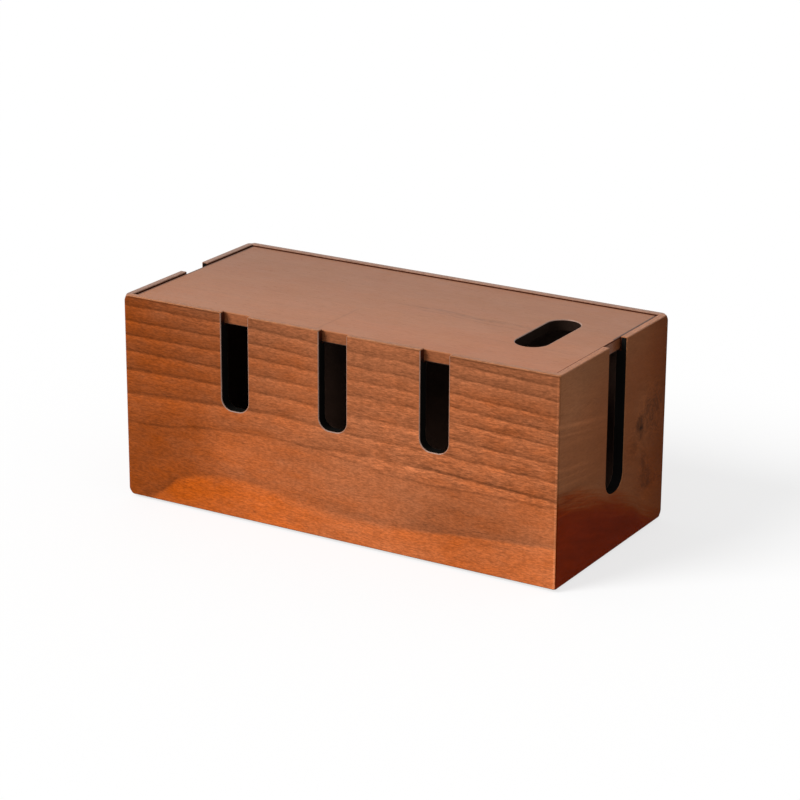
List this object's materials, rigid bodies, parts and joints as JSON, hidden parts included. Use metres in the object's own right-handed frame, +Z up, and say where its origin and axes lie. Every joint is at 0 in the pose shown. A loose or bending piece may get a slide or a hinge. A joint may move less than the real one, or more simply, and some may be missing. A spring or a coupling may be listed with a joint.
{
  "type": "cable management box",
  "caption": "Walnut box that hides a power strip, with a lift-off recessed lid, an oblong finger hole, and cable slots cut down from the rim of its front and ends.",
  "frame": {"origin": "middle of the underside of the box, on the surface that its feet stand on", "axes": "+X along the length towards the end near the lid's finger hole, +Y towards the plain back, +Z up"},
  "size_m": [0.33, 0.153, 0.144],
  "materials": {
    "walnut_face": "oiled walnut veneer, satin, grain along the board",
    "walnut_end": "oiled walnut veneer, satin, darker figured grain",
    "walnut_lid": "oiled walnut veneer, smooth satin",
    "bottom_ply": "stained plywood, matt",
    "spline_beech": "planed beech",
    "foot_rubber": "matt moulded rubber"
  },
  "bodies": {
    "case": {"front_panel": "walnut_face", "back_panel": "walnut_face", "left_end_panel": "walnut_end", "right_end_panel": "walnut_end", "bottom_panel": "bottom_ply", "spline_front_left": "spline_beech", "spline_front_right": "spline_beech", "spline_back_left": "spline_beech", "spline_back_right": "spline_beech", "foot_front_left": "foot_rubber", "foot_front_right": "foot_rubber", "foot_back_left": "foot_rubber", "foot_back_right": "foot_rubber"},
    "lid": {"lid": "walnut_lid"}
  },
  "joints": [
    {"name": "lid_lift", "type": "slide", "parent": "case", "child": "lid", "axis": [0, 0, 1], "range_m": [0, 0.08]}
  ]
}
